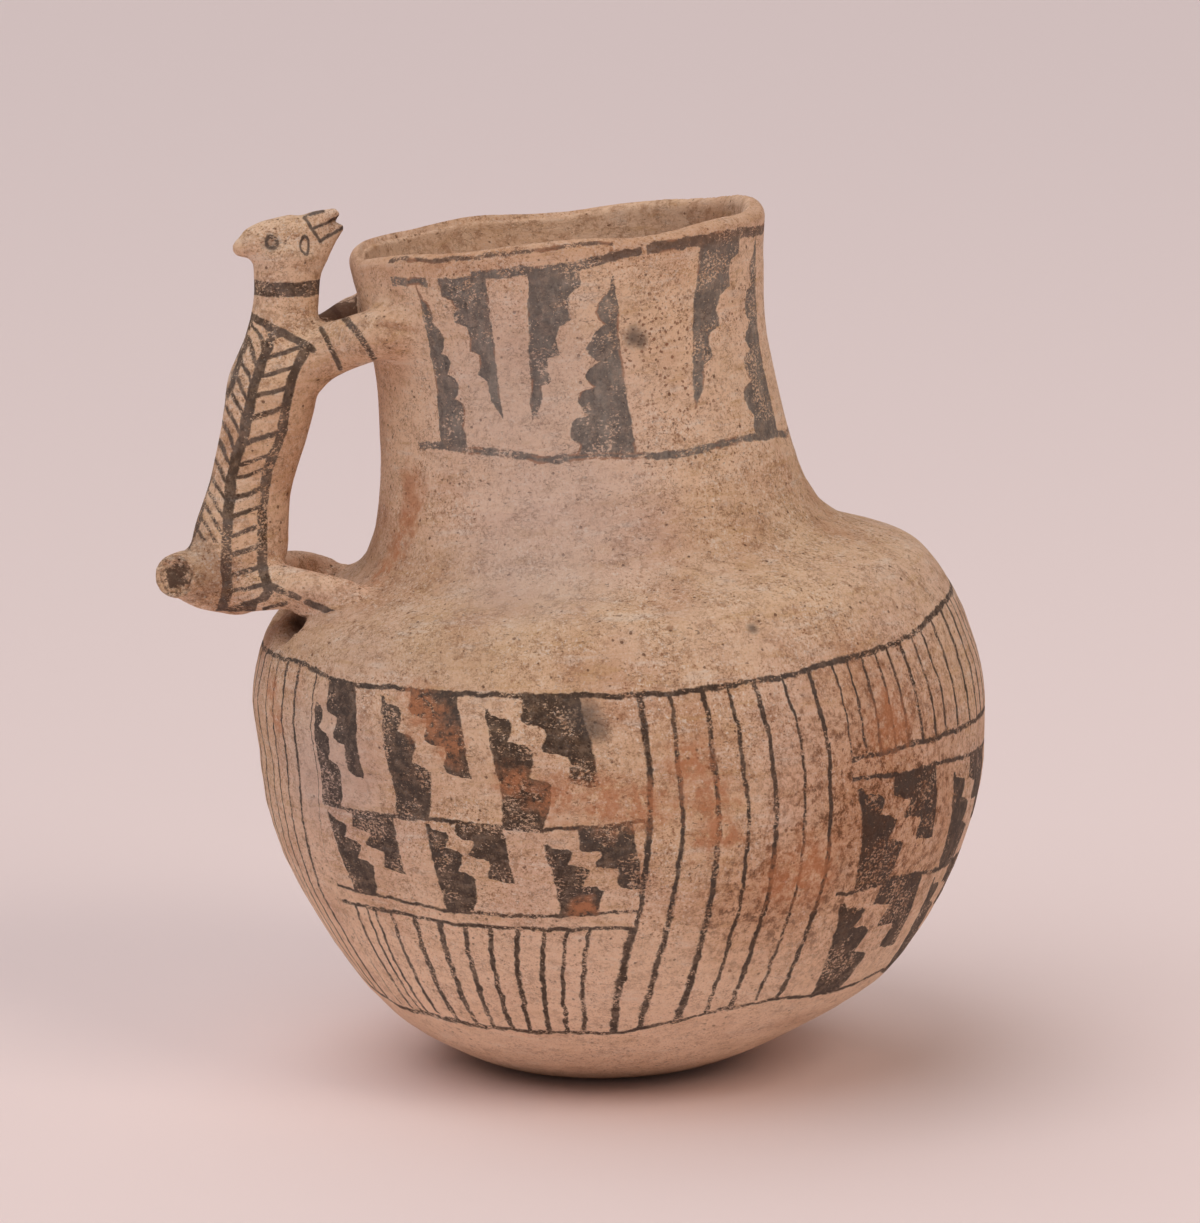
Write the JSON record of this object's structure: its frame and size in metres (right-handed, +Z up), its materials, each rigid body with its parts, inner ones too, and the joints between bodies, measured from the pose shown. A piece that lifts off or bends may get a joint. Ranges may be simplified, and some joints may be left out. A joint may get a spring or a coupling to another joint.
{
  "type": "pottery pitcher",
  "caption": "Round-bellied earthenware pitcher with a wide straight neck, painted bands and an upright animal as its handle.",
  "frame": {"origin": "centre of the flat resting spot under the pitcher", "axes": "+Z up, the animal handle on the -X side and turned a little towards -Y, the front at -Y"},
  "size_m": [0.1645, 0.1466, 0.1737],
  "materials": {
    "painted_clay": "matte"
  },
  "bodies": {
    "root": {"pitcher": "painted_clay"}
  },
  "joints": []
}
